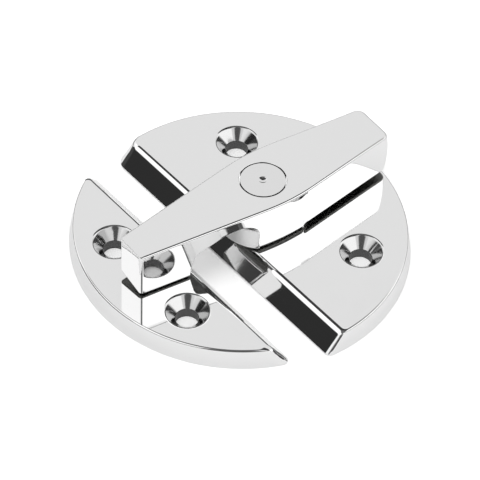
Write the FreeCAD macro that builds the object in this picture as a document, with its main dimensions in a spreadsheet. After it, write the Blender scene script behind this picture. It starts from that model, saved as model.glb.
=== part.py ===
import FreeCAD, Part
import math
import os
import re
import Sketcher
from FreeCAD import Vector

doc = FreeCAD.newDocument("TwistLatch")
sheet = doc.addObject("Spreadsheet::Sheet", "Sizes")

# Driving sizes in mm, angles in degrees
sizes = {
    # Round plates
    "disc_diameter": 70,  # outside diameter of the round at its back
    "plate_thickness": 4.5,  # thickness of both plates
    "rim_draft": 0.8,  # how far the rim leans in from back to front
    "rim_edge": 0.3,  # rounding where the rim meets the flat front
    "base_foot": -6.4,  # slot edge of the base plate at the back, from the centre
    "base_slope": 3.7,  # how far the slot face of the base plate leans back
    "keeper_foot": -13.0,  # slot edge of the keeper plate at the back, from the centre
    "keeper_slope": 3.0,  # how far the slot face of the keeper plate leans back
    "slot_land": 0.5,  # height of the upright strip at the foot of a slot face
    "slot_crest": 2.1,  # rounding of a slot face into the flat front
    "base_corner": 2.5,  # rounding of the slot ends of the base plate
    "keeper_corner": 1.2,  # rounding of the slot ends of the keeper plate
    "keeper_shift": 1.4,  # keeper plate along the slot, as it is set in the photo
    # Screw holes
    "screw_hole": 4.8,  # clear hole of the screws
    "screw_mouth": 9.5,  # mouth of the countersinks
    "base_hole_x": 15.0,  # base plate holes from the centre
    "base_hole_y": 19.9,  # base plate holes from the centre line
    "keeper_hole_x": -23.2,  # keeper plate holes from the centre
    "keeper_hole_y": 11.8,  # keeper plate holes from the centre line
    # Pivot
    "pivot_x": 4.8,  # pivot axis from the centre of the round
    "shank_diameter": 6,  # shank of the pin
    "running_gap": 0.05,  # gap of faces that turn on each other
    "fit_gap": 0.03,  # gap of faces that stay together
    "head_diameter": 9.6,  # head of the pin
    "head_height": 3,  # height of the head
    "head_edge": 0.15,  # chamfer round the head and round its seat
    "dimple_radius": 0.9,  # turned dimple in the middle of the head
    "dimple_depth": 0.35,  # depth of the dimple
    "recess_diameter": 16,  # recess in the back of the base plate
    "recess_depth": 2.8,  # depth of that recess
    "ring_bore": 6.2,  # bore of spring, retaining washer and thrust washer
    "ring_diameter": 12.4,  # outside of spring and retaining washer
    "spring_sheet": 0.5,  # thickness of the spring
    "spring_height": 0.85,  # height of the spring as fitted
    "washer_sheet": 0.6,  # thickness of the retaining washer
    "thrust_diameter": 13.6,  # outside of the thrust washer
    "thrust_sheet": 0.8,  # thickness of the thrust washer
    "groove_diameter": 5,  # pin diameter in the groove of the circlip
    "clip_sheet": 0.6,  # thickness of the circlip
    "clip_width": 1.1,  # width of the circlip ring
    "clip_opening": 2.6,  # opening of the circlip
    "clip_lug": 1.0,  # radius of the circlip lugs
    "clip_eye": 0.45,  # radius of the holes in the lugs
    "pin_tail": 0.45,  # pin below the circlip
    "pin_chamfer": 0.3,  # chamfer at the end of the pin
    # Handle, from the pivot axis
    "handle_top": 15.8,  # top of the handle above the back of the plates
    "handle_lift": 0.35,  # gap from the plates to the hub and the nose
    "handle_turn": -3.2,  # angle at which the handle stands in the photo
    "nose_reach": 32.9,  # pivot axis to the end of the nose
    "nose_width": 7.2,  # width at the end of the nose
    "grip_reach": 30.1,  # pivot axis to the end of the grip
    "grip_width": 9.4,  # width at the end of the grip
    "grip_crown": 18,  # radius of the grip end, seen from the side
    "shoulder_x": 1.6,  # widest place of the handle
    "shoulder_width": 16.5,  # width at the shoulder before it is rounded
    "shoulder_radius": 45,  # rounding of the shoulder
    "nose_corner": 1.0,  # upright corners of the nose
    "grip_corner": 1.8,  # upright corners of the grip
    "nose_ramp": 1.4,  # rise of the nose underside over the width of its end
    "hub_radius": 9.4,  # round hub under the pivot
    "arch_roof": 2.9,  # metal over the arch beside the hub
    "arch_bend": 14.4,  # where the arch starts to come down
    "arch_corner": 20.8,  # upper corner of the arch at the nose
    "arch_drop": 2.7,  # how far that corner lies below the arch beside the hub
    "arch_foot": 22,  # foot of the arch at the nose
    "hub_cove": 3.2,  # rounding of the hub into the arch
    "nose_cove": 2.2,  # rounding of the nose into the arch
    "grip_underside": 5.8,  # underside of the grip above the back of the plates
    "top_edge": 0.45,  # rounding of the upper edges
    "grip_edge": 0.8,  # rounding of the lower edges of the grip
    "arch_edge": 0.4,  # rounding of the edges of the arch
}

# Sizes that follow from the ones above
formulas = {
    "disc_radius": "disc_diameter / 2",  # radius of the round at its back
    "flat_radius": "disc_radius - rim_draft",  # radius of the flat front
    "base_crest": "base_foot + base_slope",  # top of the slot face of the base plate
    "keeper_crest": "keeper_foot - keeper_slope",  # top of the keeper slot face
    # angle of the slot face of the base plate
    "base_lean": "atan((plate_thickness - slot_land) / base_slope)",
    "keeper_lean": "atan((plate_thickness - slot_land) / keeper_slope)",  # angle of the keeper slot face
    "base_tangent": "slot_crest * tan(base_lean / 2)",  # reach of the crest rounding
    "keeper_tangent": "slot_crest * tan(keeper_lean / 2)",  # reach of that on the keeper
    "hole_radius": "screw_hole / 2",  # radius of the screw holes
    "mouth_radius": "screw_mouth / 2",  # radius of the countersinks
    "shank_radius": "shank_diameter / 2",  # radius of the shank
    "head_radius": "head_diameter / 2",  # radius of the head
    "head_seat": "handle_top - head_height",  # height of the seat of the head
    "hub_bottom": "plate_thickness + handle_lift",  # underside of hub and nose
    "arch_ceiling": "handle_top - arch_roof",  # height of the arch beside the hub
    "arch_corner_height": "arch_ceiling - arch_drop",  # height of its upper corner
    "thrust_bottom": "plate_thickness + running_gap",  # underside of the thrust washer
    "thrust_top": "thrust_bottom + thrust_sheet",  # ceiling of its seat in the hub
    "thrust_radius": "thrust_diameter / 2",  # outside radius of the thrust washer
    "spring_top": "recess_depth - running_gap",  # top of the spring
    "spring_bottom": "spring_top - spring_height",  # bottom of the spring
    "washer_bottom": "spring_bottom - washer_sheet",  # bottom of the retaining washer
    "clip_bottom": "washer_bottom - clip_sheet",  # bottom of the circlip
    "groove_radius": "groove_diameter / 2",  # radius of the pin in the groove
    "clip_radius": "groove_radius + clip_width",  # outside radius of the circlip
    "pin_end": "clip_bottom - pin_tail",  # end of the pin
    # how far the curved grip end stands out
    "grip_bulge": "grip_crown - sqrt(grip_crown ^ 2 - (handle_top - hub_bottom) ^ 2 / 4)",
}

for row, (name, amount) in enumerate(sizes.items(), 1):
    sheet.set("A%d" % row, name)
    sheet.set("B%d" % row, str(amount))
    sheet.setAlias("B%d" % row, name)
for row, (name, formula) in enumerate(formulas.items(), len(sizes) + 1):
    sheet.set("A%d" % row, name)
    sheet.set("B%d" % row, "=" + formula)
    sheet.setAlias("B%d" % row, name)
doc.recompute()


def amount_of(formula):
    """Work out a formula of size names."""
    return float(sheet.evalExpression(formula))


def bound(formula):
    """Write a formula so that an object outside the sheet can use it."""
    return re.sub(r"\b([a-z_]+)\b(?!\()", r"Sizes.\1", formula)


def new_body(label):
    """Make an empty body that carries the name of its piece."""
    body = doc.addObject("PartDesign::Body", label)
    body.Label = label
    return body


def origin_plane(body, role):
    """Find one of the origin planes of a body."""
    return [part for part in body.Origin.OriginFeatures if part.Role == role][0]


def new_sketch(body, name, role, across="0", lift="0"):
    """Start a sketch on an origin plane, moved sideways and off the plane by formulas."""
    sketch = body.newObject("Sketcher::SketchObject", name)
    sketch.AttachmentSupport = [(origin_plane(body, role), "")]
    sketch.MapMode = "FlatFace"
    sketch.setExpression("AttachmentOffset.Base.x", bound(across))
    sketch.setExpression("AttachmentOffset.Base.z", bound(lift))
    sketch.Visibility = False
    return sketch


def tie(sketch, kind, formula, *where):
    """Add a measure to a sketch and bind it to a formula."""
    index = sketch.addConstraint(Sketcher.Constraint(kind, *where, amount_of(formula)))
    sketch.setExpression("Constraints[%d]" % index, bound(formula))


def tie_point(sketch, geometry, end, across, up):
    """Tie one point of a sketch to two formulas, measured from the sketch origin."""
    for kind, formula, axis in (("DistanceX", across, -2), ("DistanceY", up, -1)):
        if formula == "0":
            sketch.addConstraint(Sketcher.Constraint("PointOnObject", geometry, end, axis))
        else:
            tie(sketch, kind, formula, -1, 1, geometry, end)


def draw_outline(sketch, corners, curved=None):
    """Draw a closed outline. Corners are pairs of formulas. Curved names the sides that are
    arcs, each with a radius formula and 1 or -1 for a bulge to the right or to the left."""
    curved = curved or {}
    spots = [Vector(amount_of(across), amount_of(up), 0) for across, up in corners]
    ends = []
    for index, start in enumerate(spots):
        stop = spots[(index + 1) % len(spots)]
        if index in curved:
            radius = amount_of(curved[index][0])
            along = stop - start
            outward = Vector(along.y, -along.x, 0).normalize() * curved[index][1]
            height = radius - math.sqrt(radius ** 2 - (along.Length / 2) ** 2)
            middle = (start + stop) * 0.5 + outward * height
            side = sketch.addGeometry(Part.Arc(start, middle, stop), False)
            forward = sketch.getPoint(side, 1).distanceToPoint(start) < 0.001
            ends.append((side, 1, 2) if forward else (side, 2, 1))
        else:
            side = sketch.addGeometry(Part.LineSegment(start, stop), False)
            ends.append((side, 1, 2))
    for index, (side, first, last) in enumerate(ends):
        following, its_first, its_last = ends[(index + 1) % len(ends)]
        sketch.addConstraint(
            Sketcher.Constraint("Coincident", side, last, following, its_first))
    for index, (across, up) in enumerate(corners):
        tie_point(sketch, ends[index][0], ends[index][1], across, up)
    for index, (formula, bulge) in curved.items():
        tie(sketch, "Radius", formula, ends[index][0])


def draw_circle(sketch, radius, across="0", up="0"):
    """Draw a circle with formulas for its radius and its centre."""
    centre = Vector(amount_of(across), amount_of(up), 0)
    index = sketch.addGeometry(Part.Circle(centre, Vector(0, 0, 1), amount_of(radius)), False)
    tie(sketch, "Radius", radius, index)
    tie_point(sketch, index, 3, across, up)


def pad(body, name, sketch, height):
    """Raise a sketch by a formula."""
    raised = body.newObject("PartDesign::Pad", name)
    raised.Profile = sketch
    raised.setExpression("Length", bound(height))
    doc.recompute()
    return raised


def cut_through(body, name, sketch, both_ways=True):
    """Cut the outline of a sketch right through the body."""
    cut = body.newObject("PartDesign::Pocket", name)
    cut.Profile = sketch
    cut.Type = "ThroughAll"
    cut.Midplane = both_ways
    doc.recompute()
    return cut


def turn(body, name, corners, cut=False, across="0", along="0", angle=360):
    """Turn an outline about an upright axis, to add it or to cut it away."""
    sketch = new_sketch(body, name + "_outline", "XZ_Plane", across, "-(%s)" % along)
    draw_outline(sketch, corners)
    kind = "PartDesign::Groove" if cut else "PartDesign::Revolution"
    turned = body.newObject(kind, name)
    turned.Profile = sketch
    turned.ReferenceAxis = (sketch, ["V_Axis"])
    turned.Angle = angle
    turned.Midplane = angle < 360
    doc.recompute()
    return turned


def turned_ring(label, inner, outer, bottom, top):
    """Make a flat ring from formulas for its radii and heights."""
    body = new_body(label)
    turn(body, label + "_turned", [(inner, bottom), (outer, bottom), (outer, top), (inner, top)])
    return body


def round_edges(body, name, chosen, radius):
    """Round the edges of the present shape of a body that a test picks."""
    tip = body.Tip
    names = ["Edge%d" % (index + 1) for index, edge in enumerate(tip.Shape.Edges)
             if chosen(edge)]
    rounding = body.newObject("PartDesign::Fillet", name)
    rounding.Base = (tip, names)
    rounding.setExpression("Radius", bound(radius))
    doc.recompute()
    return rounding


def near(one, other):
    """Tell whether two lengths are the same."""
    return abs(one - other) < 0.02


def at_level(edge, formula):
    """Tell whether an edge lies flat at one height."""
    box = edge.BoundBox
    height = amount_of(formula)
    return near(box.ZMin, height) and near(box.ZMax, height)


def is_arc(edge, radius):
    """Tell whether an edge is an arc of one radius."""
    return isinstance(edge.Curve, Part.Circle) and near(edge.Curve.Radius, amount_of(radius))


def is_upright_at(edge, across, away):
    """Tell whether an edge stands at one distance along and away from the centre line."""
    middle = edge.BoundBox.Center
    return (near(middle.x, amount_of(across)) and near(abs(middle.y), amount_of(away))
            and edge.BoundBox.ZLength > 1)


def round_plate(label, foot, crest, tangent, lean, corner, side):
    """Turn the round and cut it along the slot, with a sloped face rounded at its crest.
    Side is 1 for the plate beyond the slot on +X and -1 for the other one."""
    body = new_body(label)
    turn(body, label + "_round", [
        ("0", "0"),
        ("disc_radius", "0"),
        ("flat_radius", "plate_thickness"),
        ("0", "plate_thickness")])

    far = "(%d) * disc_diameter" % -side
    above = "plate_thickness + 1"
    low_end, high_end = [
        "%s + (%d) * (%s - slot_land) / tan(%s)" % (foot, side, height, lean)
        for height in ("(-1)", "(%s)" % above)]
    slope = new_sketch(body, label + "_slope_outline", "XZ_Plane")
    draw_outline(slope, [(far, "-1"), (low_end, "-1"), (high_end, above), (far, above)])
    cut_through(body, label + "_slope", slope)
    round_edges(body, label + "_slot_ends", lambda edge: (
        edge.BoundBox.ZLength > 1
        and abs(edge.BoundBox.Center.y) > amount_of("disc_radius / 2")), corner)
    round_edges(body, label + "_rim", lambda edge: (
        at_level(edge, "plate_thickness") and not isinstance(edge.Curve, Part.Line)),
        "rim_edge")

    top = new_sketch(body, label + "_crest_outline", "XZ_Plane")
    slope_end = "plate_thickness - %s * sin(%s)" % (tangent, lean)
    flat_start = "%s + (%d) * %s" % (crest, side, tangent)
    draw_outline(top, [
        ("%s - (%d) * %s * cos(%s)" % (crest, side, tangent, lean), slope_end),
        (flat_start, "plate_thickness"),
        (flat_start, above),
        (far, above),
        (far, slope_end)], curved={0: ("slot_crest", -side)})
    cut_through(body, label + "_crest", top)

    land = new_sketch(body, label + "_land_outline", "XZ_Plane")
    draw_outline(land, [(far, "-1"), (foot, "-1"), (foot, above), (far, above)])
    cut_through(body, label + "_land", land)
    return body


def screw_holes(body, across, along):
    """Cut one hole with a 90 degree countersink, and its mirror image."""
    hole = turn(body, body.Label + "_hole", [
        ("0", "-1"),
        ("hole_radius", "-1"),
        ("hole_radius", "plate_thickness - mouth_radius + hole_radius"),
        ("mouth_radius + 1", "plate_thickness + 1"),
        ("0", "plate_thickness + 1")], cut=True, across=across, along=along)
    pair = body.newObject("PartDesign::Mirrored", body.Label + "_hole_pair")
    pair.Originals = [hole]
    pair.MirrorPlane = (origin_plane(body, "XZ_Plane"), [""])
    body.Tip = pair
    doc.recompute()


# Base plate: large part of the round, with the pivot bore and the recess in its back
base = round_plate("base_plate", "base_foot", "base_crest", "base_tangent", "base_lean",
                   "base_corner", 1)
screw_holes(base, "base_hole_x", "base_hole_y")
turn(base, "pivot_recess", [
    ("0", "-1"),
    ("recess_diameter / 2", "-1"),
    ("recess_diameter / 2", "recess_depth"),
    ("shank_radius + running_gap", "recess_depth"),
    ("shank_radius + running_gap", "plate_thickness + 1"),
    ("0", "plate_thickness + 1")], cut=True, across="pivot_x")

# Keeper plate: small segment on the other side of the slot
keeper = round_plate("keeper_plate", "keeper_foot", "keeper_crest", "keeper_tangent",
                     "keeper_lean", "keeper_corner", -1)
screw_holes(keeper, "keeper_hole_x", "keeper_hole_y")
keeper.setExpression("Placement.Base.y", "Sizes.keeper_shift")

# Handle: tapered bar, seen from above
handle = new_body("twist_handle")
outline = new_sketch(handle, "handle_outline", "XY_Plane", lift="hub_bottom")
draw_outline(outline, [
    ("-nose_reach", "-nose_width / 2"),
    ("shoulder_x", "-shoulder_width / 2"),
    ("grip_reach + 1", "-grip_width / 2"),
    ("grip_reach + 1", "grip_width / 2"),
    ("shoulder_x", "shoulder_width / 2"),
    ("-nose_reach", "nose_width / 2")])
pad(handle, "bar", outline, "handle_top - hub_bottom")

# End of the grip, curved from top to bottom
grip_end = new_sketch(handle, "grip_end_outline", "XZ_Plane")
draw_outline(grip_end, [
    ("grip_reach - grip_bulge", "hub_bottom"),
    ("grip_reach + 5", "hub_bottom"),
    ("grip_reach + 5", "handle_top"),
    ("grip_reach - grip_bulge", "handle_top")], curved={3: ("grip_crown", -1)})
cut_through(handle, "grip_end", grip_end)

# Upright edges of the bar
for name, across, away, radius in (
        ("shoulder", "shoulder_x", "shoulder_width / 2", "shoulder_radius"),
        ("nose_corners", "-nose_reach", "nose_width / 2", "nose_corner")):
    round_edges(handle, name, lambda edge: is_upright_at(edge, across, away), radius)
round_edges(handle, "grip_corners", lambda edge: (
    edge.BoundBox.XMin > amount_of("grip_reach - 2") and edge.BoundBox.ZLength > 5),
    "grip_corner")
walls = [face for face in handle.Shape.Faces if face.BoundBox.ZLength > 5]

# Arch over the slot, swept round the pivot, from the hub to the nose
turn(handle, "arch", [
    ("-hub_radius", "0"),
    ("-hub_radius", "arch_ceiling"),
    ("-arch_bend", "arch_ceiling"),
    ("-arch_corner", "arch_corner_height"),
    ("-arch_foot", "hub_bottom"),
    ("-arch_foot", "0")], cut=True, angle=140)
round_edges(handle, "hub_cove", lambda edge: (
    is_arc(edge, "hub_radius") and at_level(edge, "arch_ceiling")), "hub_cove")
round_edges(handle, "nose_cove", lambda edge: (
    is_arc(edge, "arch_corner") and at_level(edge, "arch_corner_height")), "nose_cove")

# Underside of the grip
turn(handle, "grip_underside", [
    ("hub_radius", "0"),
    ("grip_reach + 5", "0"),
    ("grip_reach + 5", "grip_underside"),
    ("hub_radius", "grip_underside")], cut=True, angle=140)

# Ramp under the nose, which climbs on to the keeper as the handle turns
ramp = new_sketch(handle, "nose_ramp_outline", "YZ_Plane", lift="-arch_bend")
draw_outline(ramp, [
    ("-1.5 * nose_width", "hub_bottom - nose_ramp"),
    ("-1.5 * nose_width", "-5"),
    ("1.5 * nose_width", "-5"),
    ("1.5 * nose_width", "hub_bottom + 2 * nose_ramp")])
cut_through(handle, "nose_ramp", ramp, both_ways=False)

# Bore for the pin, seat of its head and seat of the thrust washer
turn(handle, "pivot_bore", [
    ("0", "0"),
    ("thrust_radius + running_gap", "0"),
    ("thrust_radius + running_gap", "thrust_top"),
    ("shank_radius + fit_gap", "thrust_top"),
    ("shank_radius + fit_gap", "head_seat"),
    ("head_radius + fit_gap", "head_seat"),
    ("head_radius + fit_gap", "handle_top - head_edge"),
    ("head_radius + fit_gap + head_edge", "handle_top"),
    ("head_radius + fit_gap + head_edge", "handle_top + 1"),
    ("0", "handle_top + 1")], cut=True)


def on_walls(edge):
    """Tell whether an edge runs along the outline of the bar."""
    middle = edge.valueAt((edge.FirstParameter + edge.LastParameter) / 2)
    return any(face.distToShape(Part.Vertex(middle))[0] < 0.001 for face in walls)


round_edges(handle, "top_rounding", lambda edge: (
    at_level(edge, "handle_top") and on_walls(edge)), "top_edge")
round_edges(handle, "grip_rounding", lambda edge: (
    at_level(edge, "grip_underside") and on_walls(edge)), "grip_edge")
round_edges(handle, "arch_rounding", lambda edge: (
    edge.BoundBox.XMin > -amount_of("arch_foot") and edge.BoundBox.XMax < 0
    and edge.BoundBox.ZMax > amount_of("grip_underside")
    and edge.BoundBox.ZMax < amount_of("head_seat + 1") and on_walls(edge)), "arch_edge")

# Pin with a flush head and a groove for the circlip
pin = new_body("pivot_pin")
turn(pin, "pin_turned", [
    ("0", "pin_end"),
    ("shank_radius - pin_chamfer", "pin_end"),
    ("shank_radius", "pin_end + pin_chamfer"),
    ("shank_radius", "clip_bottom"),
    ("groove_radius", "clip_bottom"),
    ("groove_radius", "washer_bottom"),
    ("shank_radius", "washer_bottom"),
    ("shank_radius", "head_seat"),
    ("head_radius", "head_seat"),
    ("head_radius", "handle_top - head_edge"),
    ("head_radius - head_edge", "handle_top"),
    ("dimple_radius", "handle_top"),
    ("0", "handle_top - dimple_depth")])

# Rings on the pin
thrust = turned_ring("thrust_washer", "ring_bore / 2", "thrust_radius",
                     "thrust_bottom", "thrust_top")
washer = turned_ring("retaining_washer", "ring_bore / 2", "ring_diameter / 2",
                     "washer_bottom", "spring_bottom")
spring = new_body("disc_spring")
turn(spring, "spring_turned", [
    ("ring_bore / 2", "spring_top - spring_sheet"),
    ("ring_diameter / 2", "spring_bottom"),
    ("ring_diameter / 2", "spring_bottom + spring_sheet"),
    ("ring_bore / 2", "spring_top")])

# Circlip: open ring with two eyes
clip = new_body("circlip")
ring = new_sketch(clip, "clip_ring_outline", "XY_Plane", lift="clip_bottom")
draw_circle(ring, "groove_radius + fit_gap")
draw_circle(ring, "clip_radius")
pad(clip, "clip_ring", ring, "clip_sheet")
opening = new_sketch(clip, "clip_opening_outline", "XY_Plane")
draw_outline(opening, [
    ("0", "-clip_opening / 2"),
    ("2 * clip_radius", "-clip_opening / 2"),
    ("2 * clip_radius", "clip_opening / 2"),
    ("0", "clip_opening / 2")])
cut_through(clip, "clip_gap", opening)
for side in (-1, 1):
    beside = "(%d) * (clip_opening / 2 + clip_lug)" % side
    lug = new_sketch(clip, "lug_outline", "XY_Plane", lift="clip_bottom")
    draw_circle(lug, "clip_lug", "clip_radius - clip_width / 2", beside)
    pad(clip, "lug", lug, "clip_sheet")
    eye = new_sketch(clip, "eye_outline", "XY_Plane")
    draw_circle(eye, "clip_eye", "clip_radius - clip_width / 2", beside)
    cut_through(clip, "eye", eye)

# The handle and all that turns with it stand on the pivot axis
for body in (handle, pin, thrust, washer, spring, clip):
    body.setExpression("Placement.Base.x", "Sizes.pivot_x")
    body.setExpression("Placement.Rotation.Angle", "Sizes.handle_turn")
doc.recompute()

pieces = (base, keeper, handle, pin, thrust, spring, washer, clip)
for item in doc.Objects:
    if "Invalid" in item.State or "Error" in item.State:
        raise RuntimeError("%s could not be built" % item.Name)
for piece in pieces:
    if piece.Shape.isNull() or not piece.Shape.isValid() or len(piece.Shape.Solids) != 1:
        raise RuntimeError("%s is not one valid solid" % piece.Label)

os.makedirs("parts", exist_ok=True)
for piece in pieces:
    piece.Shape.exportStep("parts/%s.step" % piece.Label)
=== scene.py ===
import math
from collections import namedtuple

import bpy
from bpy.props import FloatProperty, FloatVectorProperty, PointerProperty
from mathutils import Matrix, Vector


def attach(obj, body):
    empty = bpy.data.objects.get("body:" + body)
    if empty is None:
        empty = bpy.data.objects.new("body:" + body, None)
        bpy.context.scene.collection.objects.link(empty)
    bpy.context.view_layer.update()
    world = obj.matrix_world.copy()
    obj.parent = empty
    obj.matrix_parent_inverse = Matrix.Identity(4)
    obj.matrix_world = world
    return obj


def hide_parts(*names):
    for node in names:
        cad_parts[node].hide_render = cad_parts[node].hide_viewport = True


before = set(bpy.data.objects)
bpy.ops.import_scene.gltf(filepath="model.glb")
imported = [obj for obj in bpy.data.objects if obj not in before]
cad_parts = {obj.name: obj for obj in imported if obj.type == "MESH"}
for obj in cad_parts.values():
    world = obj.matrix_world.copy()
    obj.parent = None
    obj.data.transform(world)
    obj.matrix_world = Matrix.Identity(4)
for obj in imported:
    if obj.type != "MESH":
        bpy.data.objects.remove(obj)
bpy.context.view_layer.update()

bl_info = {
    "name": "Round twist latch",
    "version": (1, 0, 0),
    "blender": (4, 5, 0),
    "location": "3D View > Sidebar > Latch",
    "description": "Builds a polished round twist latch on its fixed frame",
    "category": "Add Mesh",
}

# How finely the curves are stepped
ROUND_STEPS = 256
SLOT_STEPS = 32
SLOPE_STEPS = 4
CORNER_STEPS = 16
HOLE_STEPS = 128
ARC_STEPS = 6
ACROSS_STEPS = 16
WALL_STEPS = 10
ARC_TURN = math.radians(4)

# Edges that turn more stay sharp, and corners of a flat face that turn less stay flat
SHARP_TURN = math.radians(24)
FLAT_TURN = math.radians(25)

# Metres. Points this near are one, a cutter stands this proud, and a bore, duller and painted
# dark as shade, fades in over this
SAME_PLACE = 1e-7
PROUD = 0.000002
HOLE_BLEND = 0.00005

# Metres. Rings under the nose count from its corner, those under hub and grip from the pivot
NOSE_START, NOSE_STEP, NOSE_RINGS = 0.0006, 0.0029, 4
HUB_STOPS = (-0.004, -0.002, 0, 0.002, 0.004)
GRIP_START, GRIP_STEP, GRIP_RINGS = 0.0115, 0.004, 5

# Metres. Upper ends of the rings over the arch and over the step from hub to grip
ARCH_TOP_LEAD, ARCH_TOP_END = 0.0004, -0.0047
STEP_TOPS = (0.0052, 0.0078)

# Metres. Rounding of that step, where past its end the grip is measured, run of its crown
STEP_ROUNDING = 0.0003
PAST_GRIP = 0.001
CROWN_RUN = 0.002

# Numbers of three corners of the arch, and how far down two rings of the hub's wall stand
NOSE_FOOT, HUB_COVE, HUB_FOOT = 0, 3, 4
HUB_WALL_SHARES = (0.35, 0.7)

# Rounds in which a place on the wall is found
WALL_TRIES = 60

# One ring of the handle. A line lies straight across it, and an arc goes round the pivot
Stop = namedtuple("Stop", "kind x z out ramped rounding")


def length(name, millimetres, description):
    """Describe one length of the latch."""
    return FloatProperty(name=name, description=description, default=millimetres / 1000,
                         unit="LENGTH", precision=5)


def share(name, amount, description):
    """Describe one plain amount of a finish or of the light."""
    return FloatProperty(name=name, description=description, default=amount, precision=4)


def angle(name, degrees, description):
    """Describe one angle."""
    return FloatProperty(name=name, description=description, default=math.radians(degrees),
                         subtype="ANGLE")


def tone(name, grey, description):
    """Describe one colour by its three levels."""
    return FloatVectorProperty(name=name, description=description, default=grey,
                               subtype="COLOR", size=3, min=0, max=4)


class LatchPlates(bpy.types.PropertyGroup):
    """Sizes of the two round plates"""
    disc_radius: length("Round", 35, "Radius of the round at its back")
    thickness: length("Thickness", 4.5, "Thickness of both plates")
    rim_draft: length("Rim draft", 0.8, "How far the rim leans in")
    rim_edge: length("Rim edge", 0.45, "Rounding of the rim into the front")
    slot_land: length("Slot land", 0.5, "Upright strip at the foot of a slot face")
    slot_crest: length("Slot crest", 2.1, "Rounding of a slot face into the front")
    base_foot: length("Base foot", -6.4, "Slot edge of the base plate at the back")
    base_slope: length("Base slope", 3.7, "Lean of the slot face of the base plate")
    keeper_foot: length("Keeper foot", -13, "Slot edge of the keeper plate at the back")
    keeper_slope: length("Keeper slope", 3, "Lean of the slot face of the keeper plate")
    base_near_corner: length("Base near corner", 1.0, "Rounding of its slot end on -Y")
    base_far_corner: length("Base far corner", 2.6, "Rounding of its slot end on +Y")
    keeper_corner: length("Keeper corner", 0.9, "Rounding of its slot ends")
    corner_growth: share("Corner growth", 0.25, "Share that the slot ends round more at the back")
    keeper_shift: length("Keeper shift", 1.4, "Keeper plate along the slot")
    hole_radius: length("Hole", 2.4, "Radius of the screw holes")
    mouth_radius: length("Mouth", 4.55, "Radius of the countersinks")
    mouth_edge: length("Mouth edge", 0.8, "Rounding of the countersinks into the front")
    base_hole_x: length("Base holes across", 15, "Base plate holes from the centre")
    base_hole_y: length("Base holes along", 19.9, "Base plate holes from the centre line")
    keeper_hole_x: length("Keeper holes across", -23.2, "Keeper holes from the centre")
    keeper_hole_y: length("Keeper holes along", 11.8, "Keeper holes from the centre line")
    recess_radius: length("Recess", 8, "Radius of the recess in the back")
    recess_depth: length("Recess depth", 2.8, "Depth of that recess")


class LatchPivot(bpy.types.PropertyGroup):
    """Sizes of the pivot pin and of what holds it"""
    pivot_x: length("Pivot", 4.8, "Pivot axis from the centre of the round")
    shank_radius: length("Shank", 3, "Radius of the shank")
    running_gap: length("Running gap", 0.05, "Gap of faces that turn on each other")
    fit_gap: length("Fit gap", 0.03, "Gap of faces that stay together")
    head_radius: length("Head", 4.8, "Radius of the head")
    head_height: length("Head height", 3, "Height of the head")
    head_edge: length("Head edge", 0.15, "Chamfer round the head and its seat")
    dimple_radius: length("Dimple", 0.9, "Radius of the dimple in the head")
    dimple_depth: length("Dimple depth", 0.35, "Depth of the dimple")
    groove_radius: length("Groove", 2.5, "Radius in the groove of the circlip")
    groove_low: length("Groove bottom", 0.7, "Lower side of the groove")
    groove_high: length("Groove top", 1.3, "Upper side of the groove")
    pin_end: length("Pin end", 0.25, "End of the pin")
    thrust_radius: length("Thrust washer", 6.8, "Radius of the thrust washer")
    thrust_top: length("Thrust seat", 5.35, "Ceiling of the thrust washer's seat")


class LatchHandle(bpy.types.PropertyGroup):
    """Sizes of the twist handle, from its pivot"""
    top: length("Top", 15.8, "Top of the handle above the back of the plates")
    hub_bottom: length("Hub bottom", 4.85, "Underside of hub and nose")
    turn: angle("Turn", -3.2, "Angle at which the handle stands")
    nose_reach: length("Nose reach", 32.9, "Pivot to the end of the nose")
    nose_width: length("Nose width", 7.2, "Width at the end of the nose")
    nose_ramp: length("Nose ramp", 1.4, "Rise of the nose underside over its width")
    grip_reach: length("Grip reach", 30.1, "Pivot to the end of the grip")
    grip_width: length("Grip width", 9.4, "Width at the end of the grip")
    nose_corner: length("Nose corner", 0.8, "Upright corners of the nose")
    nose_edge: length("Nose edge", 0.1, "Rounding of the top into the nose end")
    grip_corner: length("Grip corner", 1.8, "Upright corners of the grip")
    grip_crown: length("Grip crown", 18, "Radius of the grip end from the side")
    grip_underside: length("Grip underside", 5.8, "Underside of the grip")
    shoulder_x: length("Shoulder", 1.6, "Widest place of the handle")
    shoulder_width: length("Shoulder width", 16.5, "Width there before rounding")
    shoulder_radius: length("Shoulder radius", 45, "Rounding of the shoulder")
    hub_radius: length("Hub", 9.4, "Radius of the round hub")
    hub_cove: length("Hub cove", 3.2, "Rounding of the hub into the arch")
    arch_ceiling: length("Arch", 12.9, "Height of the arch beside the hub")
    arch_bend: length("Arch bend", 14.4, "Where the arch starts to come down")
    arch_sweep: length("Arch sweep", 6, "Rounding of that bend")
    arch_corner: length("Arch corner", 20.8, "Upper corner of the arch at the nose")
    arch_corner_height: length("Corner height", 10.2, "Height of that corner")
    nose_cove: length("Nose cove", 2.2, "Rounding of that corner")
    arch_foot: length("Arch foot", 22, "Foot of the arch at the nose")
    edge: length("Edge", 0.45, "Rounding of the upper edges and of the arch")
    hub_edge: length("Hub edge", 0.9, "Rounding of the lower edges beside the hub")
    grip_edge: length("Grip edge", 0.5, "Rounding of the lower edges of the grip")


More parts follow.
